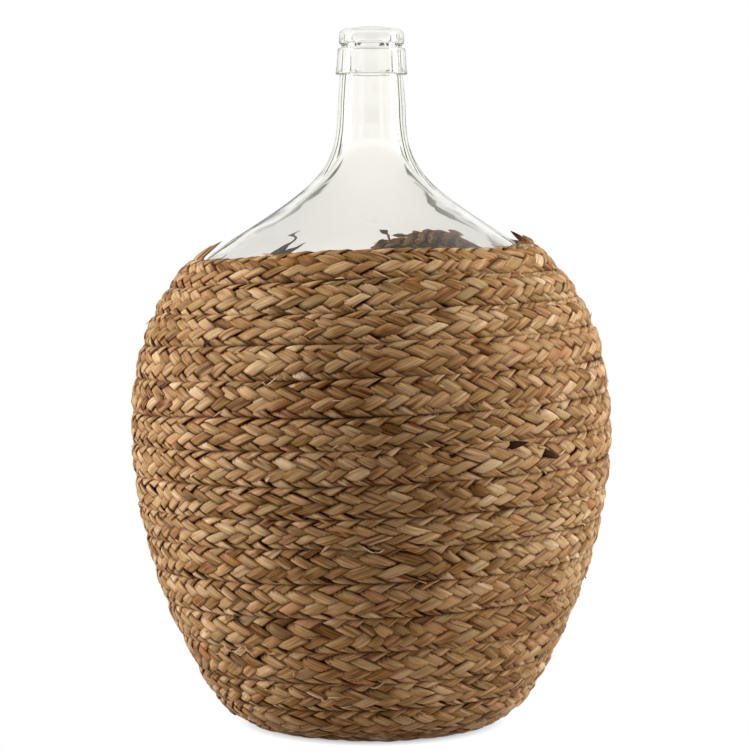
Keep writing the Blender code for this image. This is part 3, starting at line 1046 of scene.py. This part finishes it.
@dataclass
class Plait:
    """The seven strands of the flat plait, each over two and under two of the others.

    A strand's phase counts the crossings that it has passed, seven on each way from one
    edge of the plait to the other. The weave gives its level at each phase of one way.
    The common changes are drawn for the whole plait, and the own ones for each strand.
    """

    route: Route
    strands: int = 7
    crossings: float = 7.0
    cycle: float = 0.110
    reach: float = 0.0138
    pinch: float = 0.34
    pinch_reach: float = 0.9
    pinch_thickening: float = 0.6
    sharpness: float = 0.9985
    height: float = 0.00150
    height_change: float = 0.12
    standing: float = 0.0009
    standing_change: float = 0.00042
    half_width: float = 0.0044
    width_change: float = 0.24
    narrow_width: float = 0.35
    half_thickness: float = 0.0014
    thickness_change: float = 0.10
    narrow_thickness: float = 0.5
    shingle: float = 0.09
    crown: float = 0.0016
    crown_share: float = 0.3
    rings_per_cycle: int = 53
    sides: int = 12
    squareness: float = 0.85
    flatness: float = 0.95
    fold: float = 0.35
    fold_reach: Point = (0.5, 1.4)
    start_turn: float = math.radians(75.0)
    start_share: float = 0.68
    end_turn: float = math.radians(26.0)
    end_share: float = 0.55
    tail: float = 0.006
    tail_spread: float = 0.012
    tail_narrowing: float = 0.85
    tail_power: float = 1.5
    tail_thinning: float = 0.8
    tail_drop: float = 0.0015
    folds: Folds = Folds()
    seed: int = 5
    seed_step: int = 100
    knot_ends: Point = (-0.2, 0.4)
    knot_spacing: float = 0.004
    common: tuple[Drift, ...] = (Drift(0.055, 0.0010), Drift(0.050, 0.0005), Drift(0.070, 0.0014),
                                 Drift(0.060, 0.075), Drift(0.022, 0.014), Drift(0.045, 0.055))
    own_hurry: Drift = Drift(0.03, 0.19)
    own_rise: Drift = Drift(0.016)
    own_width: Drift = Drift(0.021)
    own_reach: Drift = Drift(0.035, 0.045)
    own_roll: Drift = Drift(0.025, 0.13)
    own_sway: Drift = Drift(0.03, 0.0003)
    own_tone: Drift = Drift(0.33, 0.13)
    slow_hue: Drift = Drift(0.19, 0.26)
    quick_hue: Drift = Drift(0.045, 0.24)
    mean_tone: float = 0.50
    tone_spread: float = 0.10
    tone_ends: Point = (0.02, 0.98)
    back_edge: float = -0.25
    shade_slope: float = 1.5
    shade_most: float = 0.95
    front_shade: float = 1.2
    back_shade: float = 0.9
    back_shade_least: float = 0.15
    weave_points: int = 700
    weave_softness: float = 8.0
    weave_soft_reach: int = 60
    weave_knots: Points = (
        (0, 0), (0.6, -0.9), (1.35, -0.9), (1.65, 0.9), (2.5, 1.15), (3.35, 0.9), (3.65, -0.9),
        (4.5, -1.15), (5.35, -0.9), (5.65, 0.9), (6.4, 0.9), (7, 0))

    def __post_init__(self) -> None:
        """Draw what all strands share, and soften the weave.

        The common changes are the sway across, the swell outwards, the shift along, two of
        the hurry of the crossings and the squeeze of the plait's width.
        """
        rng = np.random.default_rng(self.seed)
        before, past = self.knot_ends
        self.knots = np.arange(before, self.route.total + past, self.knot_spacing)
        self.sway, self.swell, self.shift, hurry, jerk, self.squeeze = (
            change.along(rng, self.knots) for change in self.common)
        self.hurry = hurry + jerk
        self.weave_at = np.linspace(0.0, self.crossings, self.weave_points + 1)
        level = np.interp(self.weave_at, *zip(*self.weave_knots))
        near = np.arange(-self.weave_soft_reach, self.weave_soft_reach + 1)
        spread = bell(near, self.weave_softness)
        rounds = np.concatenate((level[:-1], level, level[1:]))
        smoothed = np.convolve(rounds, spread / spread.sum(), mode="same")
        self.weave = smoothed[self.weave_points:-self.weave_points]

    def shared(self, run: Array, line: Array) -> Array:
        """Return a shared line of the plait at lengths along it."""
        return np.interp(run, self.knots, line)

    def narrowing(self, angle: Array) -> Array:
        """Return how narrow the plait is near its two ends.

        Args:
            angle: The spiral's angle at each station.

        Returns:
            The share of its full width.
        """
        to_start = np.clip((angle - self.route.start_angle) / self.start_turn, 0.0, 1.0)
        to_end = np.clip((self.route.end_azimuth - angle) / self.end_turn, 0.0, 1.0)
        return between(self.start_share, to_start) * between(self.end_share, to_end)

    def from_fold(self, phase: Array) -> Array:
        """Return how many crossings a phase lies from the nearest edge of the plait."""
        half = self.crossings / 2
        return np.abs((phase + half) % self.crossings - half)

    def strand(self, index: int) -> Line:
        """Return one strand.

        Args:
            index: Its number, from 0.

        Returns:
            The strand's line.
        """
        route, way = self.route, self.crossings
        rng = np.random.default_rng(self.seed * self.seed_step + index)
        past = self.tail + self.tail_spread * rng.random()
        cycles = (route.total + past) / self.cycle
        turns = np.linspace(0.0, cycles, int(cycles * self.rings_per_cycle))
        run = turns * self.cycle
        phase = 2 * way * (turns + index / self.strands + self.shared(run, self.hurry))
        phase = phase + self.own_hurry.along(rng, run)
        beyond = np.clip((run - route.total) / past, 0.0, 1.0)
        narrow = self.narrowing(route.angle_at(run))
        raised, wide = self.own_rise.along(rng, run), self.own_width.along(rng, run)
        pinched = self.pinch * np.exp(-(self.from_fold(phase) / self.pinch_reach) ** 2)
        half_width = self.half_width * (1.0 + self.width_change * wide)
        half_width = half_width * between(self.narrow_width, narrow) * (1.0 - pinched)
        half_width = half_width * (1.0 - self.tail_narrowing * beyond ** self.tail_power)
        half_thickness = self.half_thickness * (1.0 - self.thickness_change * wide)
        half_thickness = half_thickness * between(self.narrow_thickness, narrow)
        half_thickness = half_thickness * (1.0 + self.pinch_thickening * pinched)
        half_thickness = half_thickness * (1.0 - self.tail_thinning * beyond)
        size, crease_shade, light = self.folds.around(rng, run, self.sides)
        outline = oval(self.sides, self.squareness, self.flatness) * size[..., None]
        side = outline[..., 0] * half_width[:, None]
        face = outline[..., 1] * half_thickness[:, None]

        slope = math.atan2(4.0 * self.reach, self.cycle)
        unit_across = 2.0 * self.reach / way
        unit_along = math.hypot(4.0 * self.reach, self.cycle) / (2 * way)
        folded = phase[:, None] - side * math.cos(slope) / unit_across
        woven = phase[:, None] - side / math.tan(2.0 * slope) / unit_along
        near_fold = 1.0 - smooth_step(*self.fold_reach, self.from_fold(folded))
        woven = woven + (folded - woven) * near_fold
        level = np.interp(woven % way, self.weave_at, self.weave)
        folded = folded % (2 * way)
        swing = np.arcsin(self.sharpness * np.cos(folded * math.pi / way))
        reach = self.reach * (1.0 + self.shared(run, self.squeeze) + self.own_reach.along(rng, run))
        across = reach[:, None] * swing / math.asin(self.sharpness)
        start, middle, end = (smooth_step(at - self.fold, at + self.fold, folded)
                              for at in (0.0, way, 2 * way))
        turn = math.pi * (1.0 - start + middle - end)
        roll = self.shingle + self.own_roll.along(rng, run)
        across = across * narrow[:, None] - route.width * (1.0 - narrow[:, None]) / 2
        across = across + (self.shared(run, self.sway) * (1.0 - beyond))[:, None]
        across = across - face * np.sin(turn) + self.own_sway.along(rng, run)[:, None]
        out = level * self.height * (1.0 + self.height_change * raised[:, None])
        out = out + face * np.cos(turn) + roll[:, None] * side + self.standing
        out = out + (self.shared(run, self.swell) + self.standing_change * raised)[:, None]
        out = out + self.crown * (self.crown_share - (across / self.reach) ** 2)
        out = out - self.tail_drop * beyond[:, None]
        shift = self.shared(run, self.shift)[:, None]
        angle = route.angle_at(run[:, None] + side * math.sin(slope) + shift)
        rings, _ = route.place(angle, across, out)

        # The folds' painted highlight and shade are added to the tone
        tone = self.tones(rng, run, phase)[:, None] + light
        # Painted shade: a face turned out darkens where the strand lies low in the weave, a face
        # turned to the glass where it lies high
        back = np.clip(self.back_shade + self.shade_slope * level, self.back_shade_least,
                       self.shade_most)
        front = np.clip(self.front_shade - self.shade_slope * level, 0.0, self.shade_most)
        painted_shade = np.where(outline[..., 1] * np.cos(turn) < self.back_edge, back, front)
        hue = MEAN_HUE + self.slow_hue.along(rng, run) + self.quick_hue.along(rng, run)
        return Line(rings, run / math.cos(slope),
                    {"tone": np.clip(tone, *self.tone_ends), "hue": np.clip(hue, 0.0, 1.0),
                     "painted_shade": painted_shade, "crease_shade": crease_shade})

    def tones(self, rng: Draws, run: Array, phase: Array) -> Array:
        """Return the strand's tone, uneven from one way across the plait to the next.

        Args:
            rng: The strand's random source.
            run: The length along the plait at each station.
            phase: The strand's phase there.

        Returns:
            The tone at each station.
        """
        ways = np.cumsum(np.abs(np.gradient(run))) / (self.cycle / 2)
        pieces = np.floor(ways + phase[0] / self.crossings).astype(int)
        own = rng.normal(0.0, self.tone_spread, pieces.max() + 2)
        return self.mean_tone + own[pieces] + self.own_tone.along(rng, run)

    def build(self, material: Material) -> list[Object]:
        """Model and dress the strands.

        Args:
            material: The leaf's material.

        Returns:
            The strands.
        """
        made = []
        for index in range(self.strands):
            strand = join_lines(f"plait_strand_{index + 1}", [self.strand(index)], material)
            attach(strand, "root")
            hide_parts(Node.BASE.value, Node.WALL.value)
            made.append(strand)
        return made


@dataclass
class Stitching:
    """The sewing thread in the grooves of the wall, which comes up now and then."""

    route: Route
    finish: ThreadFinish = field(default_factory=ThreadFinish)
    stitch: float = 0.021
    swing: float = 0.0026
    radius: float = 0.00042
    flattening: float = 1.25
    sides: int = 6
    buried: float = -0.0004
    raised: float = 0.0046
    hump_power: float = 0.5
    first_turn: float = 3.5
    end_gap: float = 0.4
    spacing: float = 0.0016
    phase_change: Drift = Drift(0.05, 0.12)
    sway: Drift = Drift(0.04, 0.0005)
    showing: Drift = Drift(0.045)
    showing_more: float = 0.10
    showing_ends: Point = (0.9, 1.3)
    shown_places: Points = ((-90.0, 0.150), (-88.0, 0.035), (-112.5, 0.252))
    shown_reach: Point = (0.012, 0.006)
    seed: int = 23

    def build(self) -> Object:
        """Model and dress the thread.

        Returns:
            The thread.
        """
        route = self.route
        rng = np.random.default_rng(self.seed)
        low = route.run_at(route.start_angle + self.first_turn * math.tau)
        high = route.run_at(route.end_azimuth - math.tau - self.end_gap)
        run = np.arange(low, high, self.spacing)
        turn = (run - low) / self.stitch + self.phase_change.along(rng, run)
        turn = turn * math.tau
        showing = smooth_step(*self.showing_ends, self.showing.along(rng, run) + self.showing_more)
        for azimuth, height in self.shown_places:
            place = route.run_at(route.nearest(azimuth, height)[0])
            showing = np.maximum(showing, smooth_step(*self.shown_reach, np.abs(run - place)))
        across = route.pitch / 2 + self.swing * showing * np.sin(turn) + self.sway.along(rng, run)
        hump = np.abs(np.cos(turn)) ** self.hump_power
        out = self.buried + (self.raised - self.buried) * showing * hump
        centres, away = route.place(route.angle_at(run), across, out)
        radius = np.full(len(run), self.radius)
        line = swept(centres, away, radius * self.flattening, radius, oval(self.sides, 1.0, 1.0), {})
        thread = join_lines("stitching", [line], self.finish.build())
        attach(thread, "root")
        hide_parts(Node.THREAD.value)
        return thread


@dataclass(frozen=True)
class Tip:
    """One loose end of leaf: where it starts, how it leaves the plait and its size."""

    angle: float
    across: float
    heading: float
    length: float
    width: float
    lift: float
    curl: float
    tone: float
    roll: float = 0.0


@dataclass
class LooseEnds:
    """The split leaves on the cover, and the loose ends that stand off it here and there.

    A row of the rim's ends holds a tip's values, with its angle in degrees. A row of the
    dark leaves holds the azimuth in degrees, the height, the heading, the length and the
    width.
    """

    route: Route
    split_count: int = 420
    standing_count: int = 70
    first_turn: float = 4.0
    end_gap: float = 0.3
    back_share: float = 0.3
    across: Point = (0.0005, 0.0120)
    heading: float = -0.42
    heading_spread: float = 0.12
    standing_heading_spread: float = 0.15
    lengths: Point = (0.007, 0.015)
    widths: Point = (0.0005, 0.0017)
    lifts: Point = (0.0010, 0.0034)
    curl: float = 0.2
    standing_curl: float = 0.5
    tones: Point = (0.25, 0.85)
    foot: float = 0.0005
    rise: float = 0.0030
    rise_end: float = 0.35
    sinking: float = 0.25
    lift_power: float = 1.6
    taper_power: float = 2.2
    point_width: float = 0.00012
    half_thickness: float = 0.00022
    flatness: float = 0.8
    sides: int = 6
    stations: int = 9
    seed: int = 31
    dark_lift: float = 0.0040
    dark_curl: float = 0.1
    dark_tone: float = -0.8
    rim_ends: Rows = (
        (-222.0, 0.0090, 2.50, 0.058, 0.0080, 0.0, 0.10, 0.15, 0.0),
        (-224.0, 0.0090, 2.25, 0.052, 0.0055, 0.0, -0.20, 0.20, 0.0),
        (-190.0, 0.0090, 1.90, 0.030, 0.0030, 0.0, 0.20, 0.45, 1.1),
        (-186.0, 0.0090, 1.70, 0.022, 0.0024, 0.0, 0.10, 0.60, 0.8),
        (13.0, 0.0100, 1.60, 0.017, 0.0030, 0.0004, 0.15, 0.35, 0.7),
        (9.0, 0.0095, 1.90, 0.011, 0.0030, 0.0006, -0.30, 0.60, 0.9),
        (3.0, 0.0100, 1.30, 0.012, 0.0028, 0.0012, 0.40, 0.70, 1.0),
        (-4.0, 0.0100, 0.80, 0.013, 0.0026, 0.0010, 0.30, 0.55, 0.8),
        (-12.0, 0.0100, 0.70, 0.012, 0.0024, 0.0006, 0.30, 0.60, 0.6),
        (82.0, 0.0060, 0.15, 0.012, 0.0016, 0.0, 0.50, 0.50, 0.0),
        (83.0, 0.0010, -0.10, 0.014, 0.0014, 0.0, 0.30, 0.40, 0.0))
    dark_leaves: Rows = (
        (-59.0, 0.2292, 0.05, 0.019, 0.0030), (-48.5, 0.2250, -0.55, 0.016, 0.0030),
        (-74.0, 0.2230, 0.10, 0.010, 0.0018), (-135.0, 0.2989, 0.10, 0.013, 0.0018),
        (-129.5, 0.1030, -0.30, 0.011, 0.0018))

    def scattered(self) -> list[Tip]:
        """Lay the standing ends and the split leaves at random on the wall.

        Returns:
            Their tips.
        """
        rng = np.random.default_rng(self.seed)
        first = self.route.start_angle + self.first_turn * math.tau
        last = self.route.end_azimuth - self.end_gap
        tips = []
        for number in range(self.split_count + self.standing_count):
            standing = number < self.standing_count
            side = rng.choice((-1.0, 1.0))
            back = math.pi if rng.random() < self.back_share else 0.0
            spread = self.heading_spread + self.standing_heading_spread * standing
            tips.append(Tip(angle=rng.uniform(first, last),
                            across=side * rng.uniform(*self.across),
                            heading=side * self.heading + back + rng.normal(0.0, spread),
                            length=rng.uniform(*self.lengths), width=rng.uniform(*self.widths),
                            lift=rng.uniform(*self.lifts) if standing else 0.0,
                            curl=rng.normal(0.0, self.standing_curl if standing else self.curl),
                            tone=rng.uniform(*self.tones)))
        return tips

    def placed(self) -> list[Tip]:
        """Lay the ends that stick out over the rim, and the few very dark leaves.

        Returns:
            Their tips.
        """
        tips = [Tip(math.radians(row[0]), *row[1:]) for row in self.rim_ends]
        for azimuth, height, *shape in self.dark_leaves:
            tips.append(Tip(*self.route.nearest(azimuth, height), *shape, self.dark_lift,
                            self.dark_curl, self.dark_tone))
        return tips

    def line(self, tip: Tip) -> Line:
        """Return the line of one tip.

        Args:
            tip: Its start, way and size.

        Returns:
            A flat leaf that narrows to a point.
        """
        share = np.linspace(0.0, 1.0, self.stations)
        heading = tip.heading + tip.curl * share
        step = tip.length / (self.stations - 1)
        forward = np.concatenate(([0.0], np.cumsum(np.cos(heading[1:]) * step)))
        upward = np.concatenate(([0.0], np.cumsum(np.sin(heading[1:]) * step)))
        over = self.rise * smooth_step(0.0, self.rise_end, share) * (1.0 - self.sinking * share)
        out = self.foot + over + tip.lift * share ** self.lift_power
        angle = self.route.angle_at(self.route.run_at(tip.angle) + forward)
        centres, away = self.route.place(angle, tip.across + upward, out)
        along = unit(np.gradient(centres, axis=0))
        away = math.cos(tip.roll) * away + math.sin(tip.roll) * np.cross(along, away)
        half_width = tip.width * (1.0 - share ** self.taper_power) + self.point_width
        plain = np.ones(self.stations)
        # The very dark leaves, whose tone lies below zero, take as much painted shade as well
        marks = {"tone": plain * tip.tone, "hue": plain * MEAN_HUE, "crease_shade": plain * 0.0,
                 "painted_shade": plain * max(0.0, -tip.tone)}
        return swept(centres, away, half_width, plain * self.half_thickness,
                     oval(self.sides, 1.0, self.flatness), marks)

    def build(self, material: Material) -> Object:
        """Model and dress the tips as one piece.

        Args:
            material: The leaf's material.

        Returns:
            The piece.
        """
        tips = self.scattered() + self.placed()
        ends = join_lines("loose_leaf_ends", [self.line(tip) for tip in tips], material)
        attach(ends, "root")
        return ends


@dataclass(frozen=True)
class Flag:
    """A dark upright flag in the studio: its place, half its width and its ends, in degrees."""

    angle: float
    half_width: float
    foot: float = -40.0
    top: float = 24.0


@dataclass(frozen=True)
class Lamp:
    """A soft light: where it hangs, its width and height, and its power in watts."""

    name: str
    place: Place
    size: Point
    power: float
    shining: bool = True


@dataclass
class Studio:
    """The pale floor, the soft light and the camera."""

    lens: float = 115.2
    sensor: float = 36.0
    camera_place: Place = (0.0027, -1.8741, 0.3803)
    camera_pitch: float = math.radians(3.3385)
    ambient: float = 0.056
    ambient_color: Color = (1.0, 0.72, 0.44)
    white: Color = (1.0, 1.0, 1.0)
    panel_color: Color = (1.07, 1.06, 1.035)
    ceiling_color: Color = (0.44, 0.40, 0.35)
    ceiling_edges: Point = (0.40, 0.85)
    floor_color: Color = (0.60, 0.56, 0.52)
    floor_roughness: float = 0.9
    floor_radius: float = 9.0
    floor_sides: int = 96
    shadow_reach: Point = (0.075, 0.105)
    lamps: tuple[Lamp, ...] = (Lamp("left_light", (-1.9, -0.14, 0.70), (1.0, 1.6), 51.0),
                               Lamp("right_light", (1.9, -0.14, 0.70), (1.0, 1.6), 45.0),
                               Lamp("top_light", (0.1, -0.5, 2.4), (1.2, 1.0), 25.0, False))
    lamp_aim: Place = (0.0, 0.0, 0.27)
    flag_color: Color = (0.11, 0.115, 0.07)
    flags: tuple[Flag, ...] = (Flag(-7.5, 1.3, 6.8, 10.0), Flag(7.5, 1.1, 6.8, 10.0),
                               Flag(-13.0, 1.6, 6.3, 14.0), Flag(12.5, 1.5, 6.3, 14.0),
                               Flag(-165.0, 17.0), Flag(165.0, 17.0), Flag(-27.0, 2.5),
                               Flag(25.0, 2.5), Flag(-48.0, 3.5), Flag(45.0, 3.5),
                               Flag(-85.0, 6.0), Flag(82.0, 6.0), Flag(-125.0, 8.0),
                               Flag(128.0, 8.0))
    flag_softness: float = math.radians(0.8)
    flag_waves: Points = ((9.0, math.radians(6.0)), (70.0, math.radians(2.0)))

    def build(self) -> None:
        """Add the world, the floor, the lights and the camera."""
        self.build_world()
        self.build_floor()
        for lamp in self.lamps:
            self.build_lamp(lamp)
        camera = bpy.data.cameras.new("camera")
        camera.lens = self.lens
        camera.sensor_width = self.sensor
        holder = bpy.data.objects.new("camera", camera)
        holder.location = self.camera_place
        holder.rotation_euler = (math.pi / 2 - self.camera_pitch, 0.0, 0.0)
        bpy.context.collection.objects.link(holder)
        bpy.context.scene.camera = holder
        bpy.context.scene.view_settings.view_transform = "Standard"

    def build_world(self) -> None:
        """Make a world that is white where it is seen, and a plain level of light.

        Rays that the glass has bent meet white panels, a duller ceiling over them and
        dark flags between them.
        """
        world = bpy.data.worlds.new("studio")
        bpy.context.scene.world = world
        nodes = Nodes(world, "Background")
        path = nodes.add("ShaderNodeLightPath").outputs
        bent = nodes.math("MAXIMUM", path["Is Transmission Ray"], path["Is Glossy Ray"])
        seen = nodes.math("MAXIMUM", path["Is Camera Ray"], bent)
        way = nodes.add("ShaderNodeTexCoord").outputs["Generated"]
        height = nodes.add("ShaderNodeSeparateXYZ", {0: way}).outputs["Z"]
        high = nodes.spread(height, *self.ceiling_edges)
        panels = nodes.mix(Blend.OVER, high, self.panel_color, self.ceiling_color)
        panels = nodes.mix(Blend.OVER, bent, self.white, panels)
        shades = nodes.mix(Blend.OVER, seen, self.ambient_color, panels)
        flags = nodes.math("MULTIPLY", self.flags_met(nodes, way), bent)
        nodes.feed(nodes.shader, {"Color": nodes.mix(Blend.OVER, flags, shades, self.flag_color),
                                  "Strength": nodes.spread(seen, 0.0, 1.0, self.ambient, 1.0)})

    def flags_met(self, nodes: Nodes, way: Socket) -> Socket:
        """Return 1 at the dark upright flags, which draw the edges of the glass.

        Args:
            nodes: The world's nodes.
            way: The ray's direction.

        Returns:
            The value, with soft and wavering edges.
        """
        split = nodes.add("ShaderNodeSeparateXYZ", {0: way}).outputs
        angle = nodes.math("ARCTAN2", split["X"], split["Y"])
        for scale, size in self.flag_waves:
            wave = nodes.math("SUBTRACT", nodes.noise(way, scale), 0.5)
            angle = nodes.math("ADD", angle, nodes.math("MULTIPLY", wave, size))
        met = None
        for flag in self.flags:
            away = nodes.math("SUBTRACT", angle, math.radians(flag.angle))
            edges = ((nodes.math("ABSOLUTE", away), math.radians(flag.half_width)),
                     (split["Z"], math.sin(math.radians(flag.top))),
                     (split["Z"], math.sin(math.radians(flag.foot))))
            across, below, under = (
                nodes.spread(value, edge + self.flag_softness, edge, way="SMOOTHSTEP")
                for value, edge in edges)
            here = nodes.math("MULTIPLY", across, nodes.math("SUBTRACT", below, under))
            met = here if met is None else nodes.math("MAXIMUM", met, here)
        return met

    def build_floor(self) -> None:
        """Lay a wide floor that keeps the vase's shadow, and is white beyond it."""
        bpy.ops.object.select_all(action="DESELECT")
        bpy.ops.mesh.primitive_circle_add(vertices=self.floor_sides, radius=self.floor_radius,
                                          fill_type="NGON")
        floor = bpy.context.object
        floor.name = "floor"
        nodes = Nodes(bpy.data.materials.new("white_floor"))
        nodes.feed(nodes.shader, {"Base Color": self.floor_color, "Specular IOR Level": 0.0,
                                  "Roughness": self.floor_roughness})
        away = nodes.add("ShaderNodeVectorMath", {0: nodes.own_place()}, operation="LENGTH")
        far = nodes.spread(away.outputs["Value"], *self.shadow_reach)
        path = nodes.add("ShaderNodeLightPath").outputs
        seen = nodes.math("MAXIMUM", path["Is Camera Ray"], path["Is Glossy Ray"])
        seen = nodes.math("MAXIMUM", seen, path["Is Transmission Ray"])
        glow = nodes.add("ShaderNodeEmission")
        blend = nodes.add("ShaderNodeMixShader", {0: nodes.math("MULTIPLY", far, seen),
                                                  1: nodes.shader.outputs[0], 2: glow.outputs[0]})
        nodes.feed(nodes.tree.nodes["Material Output"], {"Surface": blend.outputs[0]})
        floor.data.materials.append(nodes.owner)

    def build_lamp(self, lamp: Lamp) -> None:
        """Hang a soft light that faces the vase's middle.

        Args:
            lamp: Its place, size and power.
        """
        light = bpy.data.lights.new(lamp.name, "AREA")
        light.shape = "RECTANGLE"
        light.size, light.size_y = lamp.size
        light.energy = lamp.power
        holder = bpy.data.objects.new(lamp.name, light)
        holder.location = lamp.place
        aim = Vector(self.lamp_aim) - Vector(lamp.place)
        holder.rotation_euler = aim.to_track_quat("-Z", "Y").to_euler()
        holder.visible_transmission = False
        holder.visible_glossy = lamp.shining
        bpy.context.collection.objects.link(holder)


def report(*pieces: Object) -> None:
    """Log each piece with the number of its faces."""
    for piece in pieces:
        LOG.info("%s: %d faces", piece.name, len(piece.data.polygons))


def main() -> None:
    """Build the vase and its studio."""
    report(Bottle().build())
    leaf = SeagrassFinish().build()
    route = Route()
    report(*Plait(route).build(leaf))
    report(Stitching(route).build())
    report(LooseEnds(route).build(leaf))
    Studio().build()
    LOG.info("studio built")


if __name__ == "__main__":
    main()
